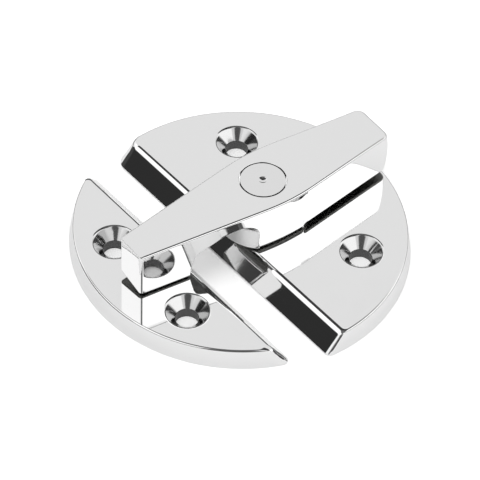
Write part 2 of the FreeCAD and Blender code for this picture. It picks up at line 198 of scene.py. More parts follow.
class LatchFinish(bpy.types.PropertyGroup):
    """Colours and polish of the metals and of the plastic"""
    steel: tone("Steel", (0.86, 0.86, 0.86), "Mirror polished steel")
    pin_steel: tone("Pin steel", (0.82, 0.82, 0.82), "Turned and polished steel of the pin")
    spring_steel: tone("Spring steel", (0.48, 0.48, 0.49), "Plain steel of the small rings")
    acetal: tone("Acetal", (0.80, 0.80, 0.76), "Plastic of the thrust washer")
    cone: tone("Cone", (0.6, 0.6, 0.6), "Turned steel of the countersinks")
    cone_dullness: share("Cone dullness", 0.11, "Roughness of the countersinks")
    # Painted shade: the bore's dark colour stands for the shade inside the screw holes; its
    # roughness is the drilled finish
    bore: tone("Bore", (0.14, 0.14, 0.14), "Drilled steel inside the screw holes")
    bore_dullness: share("Bore dullness", 0.35, "Roughness inside the screw holes")
    # Painted shade: the dark colour of the underside stands for the shade under the handle; the
    # roughness is its dull cast skin
    cast: tone("Cast skin", (0.13, 0.13, 0.125), "Steel of the underside of the handle")
    cast_dullness: share("Cast dullness", 0.4, "Roughness of that underside")
    polish: share("Polish", 0.035, "Roughness of the mirror polish")
    haze: share("Haze", 0.05, "How much rougher the faint wipe marks are")
    scratches: share("Scratches", 0.02, "Strength of the hair scratches")
    pin_scratches: share("Pin scratches", 0.03, "The same on the pin")
    spring_polish: share("Spring polish", 0.28, "Roughness of the small rings")
    spring_haze: share("Spring haze", 0.12, "How much rougher their marks are")
    spring_scratches: share("Spring scratches", 0.3, "Strength of their scratches")


class LatchStudio(bpy.types.PropertyGroup):
    """Light, floor and camera"""
    floor: tone("Floor", (0.92, 0.92, 0.92), "Pale floor")
    glow: share("Glow", 0.3, "Glow that keeps the floor white")
    mirrored_glow: share("Mirrored glow", 0.03, "The same glow as polished metal shows it")
    room: share("Room", 1.0, "Level of the white room")
    lamp: share("Lamp", 3.0, "Power of the soft lamp in watts")
    lamp_size: length("Lamp size", 600, "Width of the soft lamp")
    lamp_aside: length("Lamp aside", -100, "Lamp from the centre along X and along Y")
    lamp_height: length("Lamp height", 900, "Lamp above the floor")
    floor_size: length("Floor size", 6000, "Width of the floor")
    distance: length("Distance", 515.83, "Camera from the centre of the round")
    azimuth: angle("Azimuth", -42.003, "Side that the camera stands on")
    elevation: angle("Elevation", 47.655, "Height of the camera as an angle")
    roll: angle("Roll", 2.854, "Tilt of the camera about its own axis")
    focal: share("Focal length", 186.5, "Focal length in mm on a 36 mm sensor")
    shift_x: share("Shift across", -0.0045, "Sideways shift of the picture")
    shift_y: share("Shift up", 0.0055, "Upward shift of the picture")
    clip_start: length("Clip start", 50, "Nearest that the camera sees")
    clip_end: length("Clip end", 20000, "Farthest that the camera sees")


def rounded(corners, radii, fixed=0):
    """Return an outline with arcs in place of the corners that have a radius. Each arc has
    the fixed number of steps, or else as many as its turn needs."""
    outline = []
    for index, corner in enumerate(corners):
        here = Vector(corner)
        radius = radii.get(index, 0)
        if not radius:
            outline.append(here)
            continue
        before = (Vector(corners[index - 1]) - here).normalized()
        after = (Vector(corners[(index + 1) % len(corners)]) - here).normalized()
        half = before.angle(after) / 2
        centre = here + (before + after).normalized() * radius / math.sin(half)
        first = here + before * radius / math.tan(half) - centre
        last = here + after * radius / math.tan(half) - centre
        turn = math.pi - 2 * half
        steps = fixed or max(4, round(turn / ARC_TURN))
        middle = (first + last).normalized()
        side = (last - first).normalized()
        for step in range(steps + 1):
            swing = turn * (step / steps - 0.5)
            spoke = (middle * math.cos(swing) + side * math.sin(swing)) * radius
            outline.append(centre + spoke)
    return outline


def pick(piece):
    """Make a piece the only one selected, and active."""
    bpy.ops.object.select_all(action="DESELECT")
    piece.select_set(True)
    bpy.context.view_layer.objects.active = piece


def start_outline(name, points, filled):
    """Add a ring of points as an object, ready to be spun or drawn out."""
    bpy.ops.object.select_all(action="DESELECT")
    bpy.ops.mesh.primitive_circle_add(
        vertices=len(points), fill_type="NGON" if filled else "NOTHING")
    piece = bpy.context.object
    piece.name = name
    for vertex, point in zip(piece.data.vertices, points):
        vertex.co = point
    bpy.ops.object.mode_set(mode="EDIT")
    bpy.ops.mesh.select_all(action="SELECT")
    return piece


def close_shape():
    """Merge the seam, drop stray edges and turn all faces outwards."""
    bpy.ops.mesh.select_all(action="SELECT")
    bpy.ops.mesh.remove_doubles(threshold=SAME_PLACE)
    bpy.ops.mesh.delete_loose(use_verts=True, use_edges=True, use_faces=False)
    bpy.ops.mesh.select_all(action="SELECT")
    bpy.ops.mesh.normals_make_consistent(inside=False)
    bpy.ops.object.mode_set(mode="OBJECT")


def turned(name, outline, across=0.0, along=0.0):
    """Spin an outline of radii and heights about an upright axis."""
    piece = start_outline(name, [(across + r, along, z) for r, z in outline], False)
    bpy.ops.mesh.spin(steps=HOLE_STEPS, angle=2 * math.pi, center=(across, along, 0),
                      axis=(0, 0, 1))
    close_shape()
    return piece


def raised(name, rings):
    """Draw an outline up through a stack of outlines."""
    piece = start_outline(name, rings[0], True)
    for ring in rings[1:]:
        bpy.ops.mesh.extrude_region_move()
        bpy.ops.object.mode_set(mode="OBJECT")
        for vertex, point in zip(list(piece.data.vertices)[-len(ring):], ring):
            vertex.co = point
        bpy.ops.object.mode_set(mode="EDIT")
    close_shape()
    return piece


def subtract(piece, cutters):
    """Cut shapes out of a piece and remove the cutters."""
    pick(piece)
    for cutter in cutters:
        cut = piece.modifiers.new("Cut", "BOOLEAN")
        cut.operation = "DIFFERENCE"
        cut.solver = "EXACT"
        cut.object = cutter
        bpy.ops.object.modifier_apply(modifier=cut.name)
        bpy.data.objects.remove(cutter, do_unlink=True)


def polish_shape(piece):
    """Shade a piece smooth across its roundings, with level faces kept flat."""
    pick(piece)
    bpy.ops.object.shade_smooth_by_angle(angle=SHARP_TURN)
    even = piece.modifiers.new("Flats", "WEIGHTED_NORMAL")
    even.keep_sharp = True
    even.weight = 100
    bpy.ops.object.modifier_apply(modifier=even.name)
    mesh = piece.data
    level = {}
    for face in mesh.polygons:
        if abs(face.normal.z) > 0.999999:
            for spot in face.vertices:
                level[spot] = Vector((0, 0, math.copysign(1, face.normal.z)))
    ways = [corner.vector.copy() for corner in mesh.corner_normals]
    for corner in mesh.loops:
        flat = level.get(corner.vertex_index)
        if flat and ways[corner.index].angle(flat) < FLAT_TURN:
            ways[corner.index] = flat
    mesh.normals_split_custom_set(ways)


def new_nodes(tree):
    """Empty a node tree and return a function that adds nodes to it."""
    tree.nodes.clear()

    def add(kind, inputs=None, **settings):
        """Add a node with its settings. Each named input takes a level or another output."""
        node = tree.nodes.new(kind)
        for key, setting in settings.items():
            setattr(node, key, setting)
        for name, given in (inputs or {}).items():
            if isinstance(given, bpy.types.NodeSocket):
                tree.links.new(given, node.inputs[name])
            else:
                node.inputs[name].default_value = given
        return node
    return add


def new_material(name):
    """Start a material. Return it and the function that adds nodes to it."""
    material = bpy.data.materials.new(name)
    material.use_nodes = True
    return material, new_nodes(material.node_tree)


def polish_marks():
    """Build the group of faint wipe marks and hair scratches of polished metal."""
    group = bpy.data.node_groups.get("Polish marks")
    if group:
        return group
    group = bpy.data.node_groups.new("Polish marks", "ShaderNodeTree")
    for name, way, kind in (("Polish", "INPUT", "Float"), ("Haze", "INPUT", "Float"),
                            ("Scratches", "INPUT", "Float"), ("Roughness", "OUTPUT", "Float"),
                            ("Normal", "OUTPUT", "Vector")):
        group.interface.new_socket(name, in_out=way, socket_type="NodeSocket" + kind)
    add = new_nodes(group)
    given = add("NodeGroupInput").outputs
    place = add("ShaderNodeTexCoord").outputs["Object"]
    clouds = add("ShaderNodeTexNoise", {"Vector": place, "Scale": 90, "Detail": 4})
    haze = add("ShaderNodeMapRange", {
        "Value": clouds.outputs["Fac"], "From Min": 0.45, "From Max": 0.75},
        interpolation_type="SMOOTHSTEP")
    rough = add("ShaderNodeMath", {
        0: haze.outputs["Result"], 1: given["Haze"], 2: given["Polish"]},
        operation="MULTIPLY_ADD")
    stretch = add("ShaderNodeMapping", {
        "Vector": place, "Rotation": (0, 0, math.radians(24)), "Scale": (60, 2600, 2600)})
    hairs = add("ShaderNodeTexNoise", {
        "Vector": stretch.outputs["Vector"], "Scale": 1, "Detail": 2})
    relief = add("ShaderNodeBump", {
        "Height": hairs.outputs["Fac"], "Distance": 0.00001, "Strength": given["Scratches"]})
    add("NodeGroupOutput", {
        "Roughness": rough.outputs["Value"], "Normal": relief.outputs["Normal"]})
    return group


def metal_surface(add, colour, polish, haze, scratches, dull_and_shaded_parts=()):
    """Add a metal with wipe marks and hair scratches. Each dull part has its mask, its
    colour and its roughness; the dark colours of the bores and of the handle's underside are
    painted shade."""
    marks = add("ShaderNodeGroup", {"Polish": polish, "Haze": haze, "Scratches": scratches},
                node_tree=polish_marks())
    base = (*colour, 1)
    rough = marks.outputs["Roughness"]
    for mask, darker_colour, dullness in dull_and_shaded_parts:
        base = add("ShaderNodeMix", {0: mask, 6: base, 7: (*darker_colour, 1)},
                   data_type="RGBA").outputs[2]
        rough = add("ShaderNodeMix", {0: mask, 2: rough, 3: dullness},
                    data_type="FLOAT").outputs[0]
    surface = add("ShaderNodeBsdfPrincipled", {
        "Base Color": base, "Metallic": 1, "Roughness": rough,
        "Normal": marks.outputs["Normal"]})
    add("ShaderNodeOutputMaterial", {"Surface": surface.outputs["BSDF"]})


def metal(name, *finish):
    """Make a metal of one colour, polish, haze and strength of scratches."""
    material, add = new_material(name)
    metal_surface(add, *finish)
    return material


def acetal(name, colour):
    """Make the dull plastic of the thrust washer, with fine flow marks."""
    material, add = new_material(name)
    place = add("ShaderNodeTexCoord")
    flow = add("ShaderNodeTexNoise", {
        "Vector": place.outputs["Object"], "Scale": 400, "Detail": 3}).outputs["Fac"]
    shades = add("ShaderNodeValToRGB", {"Fac": flow})
    shades.color_ramp.elements[0].color = (*[level * 0.9 for level in colour], 1)
    shades.color_ramp.elements[1].color = (*colour, 1)
    relief = add("ShaderNodeBump", {"Height": flow, "Strength": 0.2, "Distance": 0.00002})
    surface = add("ShaderNodeBsdfPrincipled", {
        "Base Color": shades.outputs["Color"], "Roughness": 0.45,
        "Normal": relief.outputs["Normal"]})
    add("ShaderNodeOutputMaterial", {"Surface": surface.outputs["BSDF"]})
    return material


def dress(piece, material):
    """Give a piece one material."""
    piece.data.materials.clear()
    piece.data.materials.append(material)


def bored_steel_with_shade(name, across, along, middle):
    """Make polished steel with the duller cones and bores of two holes, which lie on both sides
    of the middle along Y.
    The bores are rougher as drills leave them, and their dark colour is painted shade inside the
    holes."""
    finish = bpy.context.scene.latch_finish
    plates = bpy.context.scene.latch_plates
    material, add = new_material(name)
    place = add("ShaderNodeTexCoord")
    centred = add("ShaderNodeMapping", {
        "Vector": place.outputs["Object"], "Location": (0, -middle, 0)})
    folded = add("ShaderNodeVectorMath", {0: centred.outputs["Vector"]}, operation="ABSOLUTE")
    apart = add("ShaderNodeVectorMath", {
        0: folded.outputs["Vector"], 1: (abs(across), along, 0)}, operation="DISTANCE")
    hole, mouth = plates.hole_radius, plates.mouth_radius
    parts = []
    # First the duller turned cones, then the bores, whose dark colour is painted shade inside the
    # holes
    for radius, height, colour, dullness in (
            (mouth, plates.thickness, finish.cone, finish.cone_dullness),
            (hole, plates.thickness - mouth + hole, finish.bore, finish.bore_dullness)):
        reach = math.hypot(radius, height)
        inside = add("ShaderNodeMapRange", {
            "Value": apart.outputs["Value"], "From Min": reach, "From Max": reach - HOLE_BLEND})
        parts.append((inside.outputs["Result"], colour, dullness))
    metal_surface(add, finish.steel, finish.polish, finish.haze, finish.scratches, parts)
    return material


def cast_steel_shaded_below(name):
    """Make polished steel that is rougher and painted dark where it faces down: the dull skin of
    the casting, and painted shade under the handle.
    """
    finish = bpy.context.scene.latch_finish
    material, add = new_material(name)
    shape = add("ShaderNodeNewGeometry")
    ways = add("ShaderNodeSeparateXYZ", {"Vector": shape.outputs["Normal"]})
    # Darker where the face points down: painted shade under the handle, on a rougher cast skin
    below = add("ShaderNodeMapRange", {
        "Value": ways.outputs["Z"], "From Min": -0.3, "From Max": -0.5})
    shaded_underside = (below.outputs["Result"], finish.cast, finish.cast_dullness)
    metal_surface(add, finish.steel, finish.polish, finish.haze, finish.scratches, [shaded_underside])
    return material


def slot_and_rim(plates, foot, lean):
    """Climb the slot face and the rim side by side, from the back to the front. Both are
    pairs of a distance and a height, and the slot face leans towards higher distances."""
    thick = plates.thickness
    flat = plates.disc_radius - plates.rim_draft
    slot = rounded([
        (foot, 0),
        (foot, plates.slot_land),
        (foot + lean, thick),
        (foot + lean + plates.slot_crest, thick)], {2: plates.slot_crest}, CORNER_STEPS)[:-1]
    rim = rounded([(0, 0), (plates.disc_radius, 0), (flat, thick), (0, thick)],
                  {2: plates.rim_edge}, CORNER_STEPS)[2:-1]
    slope = [slot[1].lerp(slot[2], step / SLOPE_STEPS) for step in range(SLOPE_STEPS)]
    slot = [slot[0]] + slope + slot[2:]
    bare = len(slot) - len(rim)
    heights = [spot.y for spot in slot[:bare]]
    reach = rim[0].y / max(heights[-1], rim[0].y)
    start = Vector((plates.disc_radius, 0))
    upright = [start.lerp(rim[0], height * reach / rim[0].y) for height in heights]
    return list(zip(slot, upright + rim))


def plate_ring(slot, rim, corners, side, shift):
    """Lay the outline of a plate at one level: slot face, round corner, rim, round corner."""
    ends = []
    for corner in corners:
        across = slot.x + corner
        along = math.sqrt((rim.x - corner) ** 2 - across ** 2)
        ends.append((corner, across, along, math.atan2(along, across)))
    near, far = ends
    spots = [(slot.x, -near[2] + (near[2] + far[2]) * step / SLOT_STEPS, slot.y)
             for step in range(SLOT_STEPS)]

    def round_corner(end, flip, shares):
        """Go round one end of the slot. Flip is -1 at the near end."""
        corner, across, along, last = end
        for done in shares:
            turn = math.pi + (last - math.pi) * done
            spots.append((across + corner * math.cos(turn),
                          flip * (along + corner * math.sin(turn)),
                          slot.y + (rim.y - slot.y) * done))

    round_corner(far, 1, [step / CORNER_STEPS for step in range(CORNER_STEPS + 1)])
    for step in range(1, ROUND_STEPS):
        turn = far[3] - (far[3] + near[3]) * step / ROUND_STEPS
        spots.append((rim.x * math.cos(turn), rim.x * math.sin(turn), rim.y))
    round_corner(near, -1, [1 - step / CORNER_STEPS for step in range(CORNER_STEPS)])
    return [(side * x, y + shift, z) for x, y, z in spots]


def round_plate(name, foot, lean, corners, side, shift):
    """Raise a plate from its outlines. Side is 1 for the base plate."""
    plates = bpy.context.scene.latch_plates
    rings = []
    for slot, rim in slot_and_rim(plates, side * foot, lean):
        wider = 1 + plates.corner_growth * (1 - slot.y / plates.thickness)
        rings.append(plate_ring(slot, rim, [corner * wider for corner in corners], side, shift))
    return raised(name, rings)


def hole_cutters(across, along, middle):
    """Make the cutters of two countersunk holes with rounded mouths."""
    plates = bpy.context.scene.latch_plates
    thick = plates.thickness
    hole = plates.hole_radius
    mouth = plates.mouth_radius
    proud = thick + PROUD
    cone = rounded([
        (hole, -mouth),
        (hole, thick - mouth + hole),
        (mouth, proud),
        (2 * mouth, proud)], {1: plates.mouth_edge / 4, 2: plates.mouth_edge})[:-1]
    outline = [(0, -mouth), *cone, (cone[-1].x, thick + mouth), (0, thick + mouth)]
    return [turned("hole cutter", outline, across, y) for y in (middle - along, middle + along)]


class LATCH_OT_base_plate(bpy.types.Operator):
    """Build the base plate with its slot face, two countersunk holes and pivot bore"""
    bl_idname = "latch.base_plate"
    bl_label = "Base plate"

    def execute(self, context):
        plates = context.scene.latch_plates
        pivot = context.scene.latch_pivot
        piece = round_plate("base_plate_shown", plates.base_foot, plates.base_slope,
                            (plates.base_near_corner, plates.base_far_corner), 1, 0)
        thick = plates.thickness
        bore = pivot.shank_radius + pivot.running_gap
        seat = turned("pivot cutter", [
            (0, -thick),
            (plates.recess_radius, -thick),
            (plates.recess_radius, plates.recess_depth),
            (bore, plates.recess_depth),
            (bore, 2 * thick),
            (0, 2 * thick)], pivot.pivot_x)
        subtract(piece, [seat] + hole_cutters(plates.base_hole_x, plates.base_hole_y, 0))
        polish_shape(piece)
        dress(piece, bored_steel_with_shade("Base plate steel", plates.base_hole_x,
                                 plates.base_hole_y, 0))
        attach(piece, "plates")
        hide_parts("base_plate")
        return {"FINISHED"}


class LATCH_OT_keeper_plate(bpy.types.Operator):
    """Build the keeper plate with its slot face and two countersunk holes"""
    bl_idname = "latch.keeper_plate"
    bl_label = "Keeper plate"

    def execute(self, context):
        plates = context.scene.latch_plates
        shift = plates.keeper_shift
        piece = round_plate("keeper_plate_shown", plates.keeper_foot, plates.keeper_slope,
                            2 * (plates.keeper_corner,), -1, shift)
        subtract(piece, hole_cutters(plates.keeper_hole_x, plates.keeper_hole_y, shift))
        polish_shape(piece)
        dress(piece, bored_steel_with_shade("Keeper steel", plates.keeper_hole_x,
                                 plates.keeper_hole_y, shift))
        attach(piece, "plates")
        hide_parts("keeper_plate")
        return {"FINISHED"}


def handle_walls(handle):
    """Return a function that gives the side wall of the handle at one distance along it:
    half the width inside the edge rounding, and the outward direction of the wall. Return
    also both wall directions and the middles of the upright corners."""
    edge = handle.edge
    shoulder = Vector((handle.shoulder_x, handle.shoulder_width / 2))
    nose = Vector((-handle.nose_reach, handle.nose_width / 2))
    grip = Vector((handle.grip_reach + PAST_GRIP, handle.grip_width / 2))
    before = (shoulder - nose).normalized()
    after = (grip - shoulder).normalized()
    nose_side = Vector((-before.y, before.x))
    grip_side = Vector((-after.y, after.x))
    radius = handle.shoulder_radius
    turn = nose_side.angle(grip_side) / 2
    middle = shoulder - (nose_side + grip_side).normalized() * radius / math.cos(turn)
    inner = radius - edge

    def half_width(x, inset, side):
        """Return half the width this far inside one straight wall."""
        return (side.dot(shoulder) - inset - side.x * x) / side.y

    def corner(x, rounding, side):
        return Vector((x, half_width(x, rounding, side)))

    def wall(x):
        if x <= middle.x + inner * nose_side.x:
            return half_width(x, edge, nose_side), nose_side
        if x < middle.x + inner * grip_side.x:
            out = Vector((x - middle.x, math.sqrt(inner ** 2 - (x - middle.x) ** 2)))
            return middle.y + out.y, out.normalized()
        return half_width(x, edge, grip_side), grip_side

    return (wall, nose_side, grip_side,
            corner(handle.nose_corner - handle.nose_reach, handle.nose_corner, nose_side),
            corner(handle.grip_reach - handle.grip_corner, handle.grip_corner, grip_side))


def arch_corners(handle):
    """List the corners of the underside from the nose to the hub. Each has its place, the
    outward directions before and after it, and its rounding. One without a rounding points
    outwards and has that of the edges."""
    low = handle.hub_bottom
    ceiling = handle.arch_ceiling
    wall_lean = Vector((handle.arch_corner - handle.arch_foot, handle.arch_corner_height - low))
    wall_lean.normalize()
    fall = Vector((handle.arch_bend - handle.arch_corner, ceiling - handle.arch_corner_height))
    fall.normalize()
    nose_wall = Vector((-wall_lean.y, wall_lean.x))
    slope = Vector((-fall.y, fall.x))
    down = Vector((0, -1))
    hub_wall = Vector((1, 0))
    return (
        (Vector((handle.arch_foot, low)), down, nose_wall, 0),
        (Vector((handle.arch_corner, handle.arch_corner_height)), nose_wall, slope,
         handle.nose_cove),
        (Vector((handle.arch_bend, ceiling)), slope, down, handle.arch_sweep),
        (Vector((handle.hub_radius, ceiling)), down, hub_wall, handle.hub_cove),
        (Vector((handle.hub_radius, low)), hub_wall, down, 0),
    )


class LATCH_OT_twist_handle(bpy.types.Operator):
    """Build the twist handle with its arch, hub, nose ramp and grip"""
    bl_idname = "latch.twist_handle"
    bl_label = "Twist handle"

    def execute(self, context):
        pivot = context.scene.latch_pivot
        handle = context.scene.latch_handle
        piece = handle_shape(handle)
        seat = handle.top - pivot.head_height
        head = pivot.head_radius + pivot.head_edge
        mouth = head + 2 * pivot.fit_gap
        bore = pivot.shank_radius + pivot.fit_gap
        thrust = pivot.thrust_radius + pivot.running_gap
        subtract(piece, [turned("pin cutter", [
            (0, 0),
            (thrust, 0),
            (thrust, pivot.thrust_top),
            (bore, pivot.thrust_top),
            (bore, seat),
            (head, seat),
            (head, handle.top - pivot.fit_gap),
            (mouth, handle.top + pivot.fit_gap),
            (mouth, handle.top + pivot.head_edge),
            (0, handle.top + pivot.head_edge)])])
        piece.data.transform(Matrix.Translation((pivot.pivot_x, 0, 0))
                             @ Matrix.Rotation(handle.turn, 4, "Z"))
        polish_shape(piece)
        dress(piece, cast_steel_shaded_below("Handle steel"))
        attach(piece, "handle")
        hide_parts("twist_handle")
        return {"FINISHED"}


def bottom_stops(handle):
    """List the stops of the underside from nose to grip, all inside the edge rounding. Each
    has its kind, distance, height, outward direction, whether it follows the ramp of the
    nose, and the rounding of its edge."""
    edge = handle.edge
    low = handle.hub_bottom + edge
    high = handle.grip_underside + edge
    wide = handle.hub_edge
    narrow = handle.grip_edge
    down = Vector((0, -1))
    side = Vector((1, 0))
    start = handle.nose_corner - handle.nose_reach
    stops = [Stop("line", start + NOSE_START + step * NOSE_STEP, low, down, True, edge)
             for step in range(NOSE_RINGS)]
    for index, (corner, first, last, radius) in enumerate(arch_corners(handle)):
        turn = first.angle(last)
        lean = (first + last).normalized()
        if radius:
            centre = corner + lean * radius / math.cos(turn / 2)
            steps = 3 * ARC_STEPS
        else:
            centre = corner - lean * edge / math.cos(turn / 2)
            steps = ARC_STEPS
        for step in range(steps + 1):
            out = first.slerp(last, step / steps)
            spot = centre - out * (radius + edge) if radius else centre
            rounding = edge + (wide - edge) * step / steps if index == HUB_FOOT else edge
            stops.append(Stop("nose_arc", spot.x, spot.y, out, index == NOSE_FOOT,
                              rounding))
        if index == HUB_COVE:
            spot = centre - last * (radius + edge)
            for fallen in HUB_WALL_SHARES:
                stops.append(Stop("nose_arc", spot.x, spot.y + (low - spot.y) * fallen, last,
                                  False, edge))
    stops += [Stop("line", x, low, down, False, wide) for x in HUB_STOPS]
    for step in range(ARC_STEPS + 1):
        stops.append(Stop("grip_arc", handle.hub_radius - edge, low,
                          down.slerp(side, step / ARC_STEPS), False, wide))
    centre = Vector((handle.hub_radius + STEP_ROUNDING, handle.grip_underside - STEP_ROUNDING))
    for step in range(ARC_STEPS + 1):
        out = side.slerp(down, step / ARC_STEPS)
        spot = centre - out * (STEP_ROUNDING + edge)
        stops.append(Stop("grip_arc", spot.x, spot.y, out, False,
                          wide + (narrow - wide) * step / ARC_STEPS))
    stops += [Stop("line", GRIP_START + step * GRIP_STEP, high, down, False, narrow)
              for step in range(GRIP_RINGS)]
    return stops


def skin_faces(count, around):
    """Join the rings of the handle with faces, and close its two ends."""
    faces = []
    for index in range(count - 1):
        for step in range(around):
            following = (step + 1) % around
            faces.append((index * around + step, index * around + following,
                          (index + 1) * around + following, (index + 1) * around + step))
    climb = 2 * ARC_STEPS + WALL_STEPS + 1
    for start in (0, (count - 1) * around):
        far = [start + ACROSS_STEPS + step for step in range(climb)]
        near = [start] + [start + around - step for step in range(1, climb)]
        below = [start + step for step in range(ACROSS_STEPS + 1)]
        above = [start + ACROSS_STEPS + climb - 1 + step for step in range(ACROSS_STEPS)]
        faces.append(below + [far[1], near[1]])
        for step in range(1, climb - 2):
            faces.append((far[step], near[step], near[step + 1], far[step + 1]))
        faces.append([far[-2]] + above + [near[-1], near[-2]])
    return faces


def crown_grip(spots, handle, corner, side):
    """Bend the end of the grip to its crown, seen from the side."""
    crown = handle.grip_crown
    middle = (handle.hub_bottom + handle.top) / 2
    run_out = corner.x - CROWN_RUN
    for spot in spots:
        weight = min(max((spot.x - run_out) / CROWN_RUN, 0), 1)
        if weight:
            back = crown - math.sqrt(crown ** 2 - (spot.z - middle) ** 2)
            spot.x -= weight * back
            spot.y *= 1 + weight * back * side.x / side.y / corner.y


def handle_shape(handle):
    """Lay the surface of the handle in rings round its length. The edges follow curved walls
    at one radius, which keeps the polish clean where a bevel would pinch."""
    edge = handle.edge
    wall, nose_side, grip_side, nose_corner, grip_corner = handle_walls(handle)
    top = handle.top - edge
    slope = handle.nose_ramp / handle.nose_width
    lean = (handle.arch_foot - handle.arch_corner) / (
        handle.arch_corner_height - handle.hub_bottom)

    def lift(y, ramped):
        """Return how far the ramp of the nose stands above its lowest side."""
        return max(y + handle.nose_width / 2, 0) * slope if ramped else 0

    def at_wall(side, radius):
        """Find where a radius about the pivot meets the wall."""
        y = 0.0
        for _ in range(WALL_TRIES):
            x = side * math.sqrt(max(radius ** 2 - y ** 2, 0))
            y = wall(x)[0]
        return x, y

    def column(foot, foot_out, end, top_x, rounding, top_rounding):
        """Climb one side wall, from the underside to the top."""
        side = -1 if foot.y < 0 else 1
        extra = rounding - edge
        spare = edge - top_rounding
        start = foot - foot_out * extra
        finish = top + spare
        spots = []
        for step in range(WALL_STEPS + 1):
            share_up = step / WALL_STEPS
            x = start.x + (top_x - start.x) * share_up
            y, out = end or wall(x)
            spot = Vector((x, side * y, start.z + (finish - start.z) * share_up))
            out = Vector((out.x, side * out.y, 0))
            if step == 0:
                for turn in range(ARC_STEPS):
                    way = foot_out.slerp(out, turn / ARC_STEPS)
                    spots.append(spot - out * extra + way * rounding)
            spots.append(spot + out * edge)
        for turn in range(1, ARC_STEPS + 1):
            way = out.slerp(Vector((0, 0, 1)), turn / ARC_STEPS)
            spots.append(spot + out * spare + way * top_rounding)
        return spots

    def ring(stop, top_x, end=None, top_rounding=edge):
        """Lay one ring: underside, far wall, top and near wall."""
        extra = stop.rounding - edge
        under = []
        outs = []
        if stop.kind == "line":
            half, side_out = end or wall(stop.x)
            inner = half - extra * side_out.y
            for step in range(ACROSS_STEPS + 1):
                y = inner * (2 * step / ACROSS_STEPS - 1)
                under.append(Vector((stop.x - extra * side_out.x * abs(y / inner), y,
                                     stop.z + lift(y, stop.ramped))))
                outs.append(Vector((0, 0, -1)))
            feet = [Vector((stop.x, y, stop.z + lift(y, stop.ramped))) for y in (-half, half)]
        else:
            side = -1 if stop.kind == "nose_arc" else 1
            half_x, half_y = at_wall(side, stop.x)
            full = math.atan2(half_y, abs(half_x))
            swing = full - extra / stop.x

            def on_arc(turn):
                rise = lift(stop.x * math.sin(turn), stop.ramped)
                radius = stop.x - rise * lean
                return (Vector((side * radius * math.cos(turn), radius * math.sin(turn),
                                stop.z + rise)),
                        Vector((side * math.cos(turn) * stop.out.x,
                                math.sin(turn) * stop.out.x, stop.out.y)))
            for step in range(ACROSS_STEPS + 1):
                spot, way = on_arc(swing * (2 * step / ACROSS_STEPS - 1))
                under.append(spot)
                outs.append(way)
            feet = [on_arc(-full)[0], on_arc(full)[0]]
        near, far = (column(foot, out, end, top_x, stop.rounding, top_rounding)
                     for foot, out in zip(feet, (outs[0], outs[-1])))
        below = [spot + way * edge for spot, way in zip(under, outs)]
        below[0] = near[0]
        below[-1] = far[0]
        above = [far[-1].lerp(near[-1], step / ACROSS_STEPS)
                 for step in range(1, ACROSS_STEPS)]
        return below + far[1:] + above + near[:0:-1]

    stops = bottom_stops(handle)
    tops = [stop.x for stop in stops]

    def spread(kind, start, finish):
        """Spread the upper ends of the rings of one kind, whose feet climb a steep wall."""
        chosen = [index for index, stop in enumerate(stops) if stop.kind == kind]
        run = [0.0]
        for index in chosen[1:]:
            one, other = stops[index - 1], stops[index]
            way = math.hypot(other.x - one.x, other.z - one.z)
            run.append(run[-1] + way + (other.out - one.out).length * edge)
        for index, reached in zip(chosen, run):
            tops[index] = start + (finish - start) * reached / run[-1]

    arch_start = next(stop.x for stop in stops if stop.kind == "nose_arc")
    spread("nose_arc", at_wall(-1, arch_start)[0] - ARCH_TOP_LEAD, ARCH_TOP_END)
    spread("grip_arc", *STEP_TOPS)

    rings = []
    steps = 2 * ARC_STEPS
    for step in range(steps, -1, -1):
        out = nose_side.slerp(Vector((-1, 0)), step / steps)
        spot = nose_corner + out * (handle.nose_corner - edge)
        fine = handle.nose_edge + (edge - handle.nose_edge) * (1 - step / steps)
        rings.append(ring(stops[0]._replace(x=spot.x), spot.x, (spot.y, out), fine))
    rings += [ring(stop, top_x) for stop, top_x in zip(stops, tops)]
    for step in range(steps + 1):
        out = grip_side.slerp(Vector((1, 0)), step / steps)
        spot = grip_corner + out * (handle.grip_corner - edge)
        rings.append(ring(stops[-1]._replace(x=spot.x), spot.x, (spot.y, out)))

    spots = [spot for laid in rings for spot in laid]
    crown_grip(spots, handle, grip_corner, grip_side)
    mesh = bpy.data.meshes.new("twist_handle_shown")
    mesh.from_pydata([tuple(spot) for spot in spots], [], skin_faces(len(rings), len(rings[0])))
    piece = bpy.data.objects.new("twist_handle_shown", mesh)
    bpy.context.scene.collection.objects.link(piece)
    pick(piece)
    bpy.ops.object.mode_set(mode="EDIT")
    close_shape()
    return piece


class LATCH_OT_pivot_pin(bpy.types.Operator):
    """Build the pivot pin with its flush head and turned dimple"""
    bl_idname = "latch.pivot_pin"
    bl_label = "Pivot pin"

    def execute(self, context):
        pivot = context.scene.latch_pivot
        handle = context.scene.latch_handle
        finish = context.scene.latch_finish
        top = handle.top
        shank = pivot.shank_radius
        edge = pivot.head_edge
        rim = pivot.head_radius - 4 * pivot.fit_gap
        seat = top - pivot.head_height
        corners = [
            (0, pivot.pin_end),
            (shank - 2 * edge, pivot.pin_end),
            (shank, pivot.pin_end + 2 * edge),
            (shank, pivot.groove_low),
            (pivot.groove_radius, pivot.groove_low),
            (pivot.groove_radius, pivot.groove_high),
            (shank, pivot.groove_high),
            (shank, seat),
            (rim, seat),
            (rim, top),
            (pivot.dimple_radius, top),
            (0, top - pivot.dimple_depth)]
        piece = turned("pivot_pin_shown", rounded(corners, {9: pivot.fit_gap, 10: edge}))
        piece.data.transform(Matrix.Translation((pivot.pivot_x, 0, 0)))
        polish_shape(piece)
        dress(piece, metal("Pin steel", finish.pin_steel, finish.polish, finish.haze,
                           finish.pin_scratches))
        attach(piece, "handle")
        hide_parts("pivot_pin")
        return {"FINISHED"}


